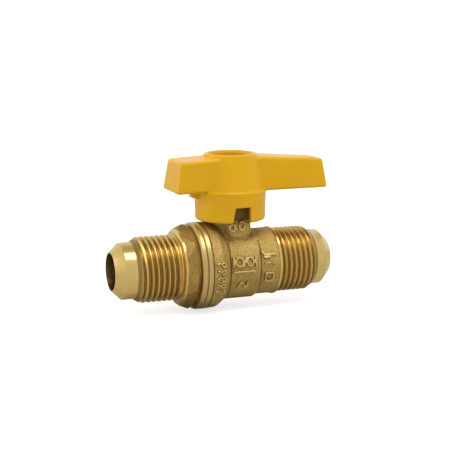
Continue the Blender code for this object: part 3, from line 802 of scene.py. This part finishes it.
stem = {"radius": 3.6, "collar": (8.5, 9.5, 4.6), "tang": (6.1, 4.0, 1.5), "shoulder": 19.8,
        "drive": (22.7, 3.2, 2.2), "top": 28.3, "ringHeights": (12.8, 15.8)}
stemThread = {"pitch": 0.8, "major": 2.5, "depth": 0.45, "crestFlat": 0.16, "rootFlat": 0.14, "crestAt": 24.0,
              "leadRadius": 2.0, "leadSlope": 0.9, "runOutFlat": 0.1, "runOutSlope": 1.0, "core": 1.9,
              "start": 22.9, "end": 28.0, "leadAt": 28.3, "runOutAt": 22.9}


def makeStem(size):
    radius = size["radius"]
    collarLow, collarHigh, collarRadius = size["collar"]
    tangFoot, tangRadius, tangHalf = size["tang"]
    driveTop, driveRadius, driveHalf = size["drive"]
    corners = [(tangFoot, 0, 0), (tangFoot, tangRadius, 0.3), (collarLow, tangRadius, 0)]
    corners += [(collarLow, collarRadius, 0.15), (collarHigh, collarRadius, 0.15), (collarHigh, radius, 0.1)]
    for middle in size["ringHeights"]:
        corners += [(middle - 0.8, radius, 0.1), (middle - 0.8, radius - 1.1, 0.1)]
        corners += [(middle + 0.8, radius - 1.1, 0.1), (middle + 0.8, radius, 0.1)]
    corners += [(size["shoulder"], radius, 0.15), (size["shoulder"], driveRadius, 0)]
    corners += [(driveTop, driveRadius, 0.2), (driveTop + 0.1, stemThread["major"], 0)]
    points = roundedOutline(corners + [(25, 0, 0)], 4)[:-1]
    points += fineLine(stemThread["start"], stemThread["end"], stemThread["major"], 0.07)
    points += [(size["top"], 2.15), (size["top"], 0)]
    bm = spun(points, "Z", smallSteps)
    cutThread(bm, stemThread, "Z")
    steps = []
    for side in (-1, 1):
        tangEdge = sorted((side * tangHalf, side * 9))
        steps.append(("DIFFERENCE", block((tangEdge[0], -9, tangFoot - 1), (tangEdge[1], 9, collarLow))))
        driveEdge = sorted((side * driveHalf, side * 9))
        steps.append(("DIFFERENCE", block((-9, driveEdge[0], size["shoulder"]), (9, driveEdge[1], driveTop))))
    bm = carved(bm, steps)
    return addPiece("stemBar", bm, [stemBrass], "handle", ["stem"])


def makeNut():
    bottom = 24.4
    top = 28.0
    acrossFlats = 8.0
    corner = acrossFlats / 2 / math.cos(math.pi / 6)
    blank = roundedOutline([(bottom, 2.75, 0.2), (bottom, corner - 0.45, 0), (bottom + 0.3, corner, 0),
                            (top - 0.3, corner, 0), (top, corner - 0.45, 0), (top, 2.75, 0.2)])
    flats = prism(hexCorners(acrossFlats), bottom - 1, top + 1)
    bm = carved(spun(blank, "Z", smallSteps), [("INTERSECT", flats)])
    return addPiece("hubNut", bm, [platedSteel], "handle", ["handle_nut"], 25)


def makeLockWasher():
    # split ring: a square section swept round with a slight rise, closed at both ends
    bm = bmesh.new()
    section = [(2.8, 23.25), (4.35, 23.25), (4.35, 23.95), (2.8, 23.95)]
    verts = [bm.verts.new(Vector((r, 0, h)) * mm) for r, h in section]
    edges = [bm.edges.new((verts[k - 1], verts[k])) for k in range(4)]
    swept = bmesh.ops.spin(bm, geom=verts + edges, cent=(0, 0, 0), axis=(0, 0, 1), dvec=(0, 0, 0.0025 * mm),
                           angle=math.radians(346), steps=smallSteps)
    last = [item for item in swept["geom_last"] if isinstance(item, bmesh.types.BMEdge)]
    bmesh.ops.edgeloop_fill(bm, edges=edges)
    bmesh.ops.edgeloop_fill(bm, edges=last)
    bmesh.ops.recalc_face_normals(bm, faces=bm.faces)
    turnedBy(bm, math.radians(-60))
    return addPiece("springWasher", bm, [platedSteel], "handle", ["lock_washer"], 30)


makeStem(stem)
makeNut()
makeLockWasher()
print("stem ready")


def makeBall():
    radius = 8.0
    port = 5.0
    edge = math.acos(port / radius)          # half the angle of the arc between the port's two rims
    angles = [math.pi / 2 + edge * (k / 24 - 1) for k in range(49)]
    outline = [(radius * math.cos(a), radius * math.sin(a)) for a in angles]
    outline = [(x, r) for x, r in outline if r > port + 0.12]
    lip = math.sqrt(radius ** 2 - port ** 2)
    outline = [(lip - 0.05, port + 0.03)] + outline + [(-lip + 0.05, port + 0.03)]
    outline += [(-lip + 0.25, port), (lip - 0.25, port)]
    slot = block((-1.7, -9, 5.8), (1.7, 9, 9))
    bm = carved(spun(outline, "X", smallSteps), [("DIFFERENCE", slot)])
    return addPiece("chromedBall", bm, [ballChrome], "ball", ["ball"], 30)


def makeSeat(name, side, node):
    sphere = 8.25
    first = math.acos(4.2 / sphere)
    last = math.asin(5.4 / sphere)
    outline = [(6.9, 5.4), (6.9, 7.3), (6.7, 7.5), (4.3, 7.5), (4.2, 7.4)]
    angles = [first + (last - first) * k / 12 for k in range(13)]
    outline += [(sphere * math.cos(a), sphere * math.sin(a)) for a in angles]
    bm = spun([(side * x, r) for x, r in outline], "X", smallSteps)
    return addPiece(name, bm, [seatWhite], "valve", [node])


def makeSealRing(name, middle, mean, axis, body, node):
    cord = 0.55
    angles = [k * math.tau / 16 for k in range(16)]
    ring = [(middle + cord * math.sin(a), mean + cord * math.cos(a)) for a in angles]
    return addPiece(name, spun(ring, axis, smallSteps), [sealBlack], body, [node])


def makeThrustWasher():
    outline = roundedOutline([(9.7, 3.8, 0.1), (10.4, 3.8, 0.1), (10.4, 4.6, 0.1), (9.7, 4.6, 0.1)], 3)
    bm = spun(outline, "Z", smallSteps)
    return addPiece("slipWasher", bm, [seatWhite], "valve", ["thrust_washer"])


makeBall()
makeSeat("seatRingInlet", -1, "inlet_seat")
makeSeat("seatRingOutlet", 1, "outlet_seat")
makeSealRing("sealRingAdapter", -10.1, 9.7, "X", "valve", "adapter_seal_ring")
lowerRing, upperRing = stem["ringHeights"]
makeSealRing("sealRingLower", lowerRing, 3.2, "Z", "handle", "lower_stem_seal_ring")
makeSealRing("sealRingUpper", upperRing, 3.2, "Z", "handle", "upper_stem_seal_ring")
makeThrustWasher()
print("inner pieces ready")


studio = {"floorZ": -12.66, "floorSize": 6.0, "wall": 0.92, "frontWall": 0.78, "ceiling": 0.55,
          "skyline": 1.05, "floorGlow": 0.68}
keyLamp = {"azimuth": 18, "elevation": 70, "distance": 0.6, "width": 0.46, "height": 0.2, "watts": 1.9}
leftLamp = {"azimuth": -112, "elevation": 12, "distance": 0.7, "width": 0.35, "height": 0.35, "watts": 1.3}
cameraView = {"azimuth": -20.64, "elevation": 10.58, "distance": 0.3349, "lens": 89.8, "target": (0, 0, 9.70)}


def makeFloor(size):
    bm = bmesh.new()
    bmesh.ops.create_circle(bm, cap_ends=True, segments=96, radius=size["floorSize"])
    bmesh.ops.translate(bm, verts=bm.verts, vec=(0, 0, size["floorZ"] * mm))
    floor = looseObject("floor", bm)
    material, tree, shader, vector = startMaterial("paleFloor", 0.7, 0.0)
    drift = useGroup(tree, handling, vector, Size=4.0)
    tree.links.new(mixColour(tree, drift.outputs["Drift"], (0.60, 0.60, 0.60), (0.62, 0.62, 0.62)),
                   shader.inputs["Base Color"])
    direct = tree.nodes.new("ShaderNodeLightPath").outputs["Is Camera Ray"]
    shader.inputs["Emission Color"].default_value = (1, 1, 1, 1)
    tree.links.new(mathNode(tree, "MULTIPLY", direct, size["floorGlow"]), shader.inputs["Emission Strength"])
    floor.data.materials.append(material)


def makeLamp(name, size):
    data = bpy.data.lights.new(name, "AREA")
    data.shape = "RECTANGLE"
    data.size = size["width"]
    data.size_y = size["height"]
    data.energy = size["watts"]
    lamp = bpy.data.objects.new(name, data)
    bpy.context.scene.collection.objects.link(lamp)
    direction = viewDirection(size["azimuth"], size["elevation"])
    lamp.location = Vector((0, 0, 8)) * mm + direction * size["distance"]
    lamp.rotation_mode = "QUATERNION"
    lamp.rotation_quaternion = direction.to_track_quat("Z", "Y")


def viewDirection(azimuth, elevation):
    # from the valve towards a place: azimuth 0 is the -Y side, and it grows towards +X
    a = math.radians(azimuth)
    e = math.radians(elevation)
    return Vector((math.sin(a) * math.cos(e), -math.cos(a) * math.cos(e), math.sin(e)))


def makeWorld(size):
    # a soft room: even walls, darker low in front and overhead, and a white line where the floor ends
    world = bpy.data.worlds.new("studio")
    world.use_nodes = True
    tree = world.node_tree
    split = tree.nodes.new("ShaderNodeSeparateXYZ")
    tree.links.new(tree.nodes.new("ShaderNodeTexCoord").outputs["Generated"], split.inputs[0])
    facing = rangeNode(tree, split.outputs["Y"], -0.15, -0.55)
    low = rangeNode(tree, split.outputs["Z"], 0.72, 0.52)
    dark = mathNode(tree, "MULTIPLY", facing, low)
    room = rangeNode(tree, dark, 0.0, 1.0, size["wall"], size["frontWall"])
    ceiling = rangeNode(tree, split.outputs["Z"], 0.6, 0.9, 1.0, size["ceiling"])
    room = mathNode(tree, "MULTIPLY", room, ceiling)
    height = mathNode(tree, "ABSOLUTE", split.outputs["Z"])
    line = rangeNode(tree, height, 0.05, 0.03, 0.0, size["skyline"])
    tree.links.new(mathNode(tree, "MAXIMUM", room, line), tree.nodes["Background"].inputs["Strength"])
    tree.nodes["Background"].inputs["Color"].default_value = (1, 1, 1, 1)
    bpy.context.scene.world = world


def makeCamera(size):
    data = bpy.data.cameras.new("frontView")
    data.lens = size["lens"]
    data.sensor_width = 36
    data.clip_start = 0.01
    data.clip_end = 50
    camera = bpy.data.objects.new("frontView", data)
    bpy.context.scene.collection.objects.link(camera)
    direction = viewDirection(size["azimuth"], size["elevation"])
    camera.location = Vector(size["target"]) * mm + direction * size["distance"]
    camera.rotation_mode = "QUATERNION"
    camera.rotation_quaternion = direction.to_track_quat("Z", "Y")
    bpy.context.scene.camera = camera


makeFloor(studio)
makeWorld(studio)
makeLamp("keyLamp", keyLamp)
makeLamp("leftLamp", leftLamp)
makeCamera(cameraView)
bpy.context.scene.view_settings.view_transform = "Standard"
print("stage ready")
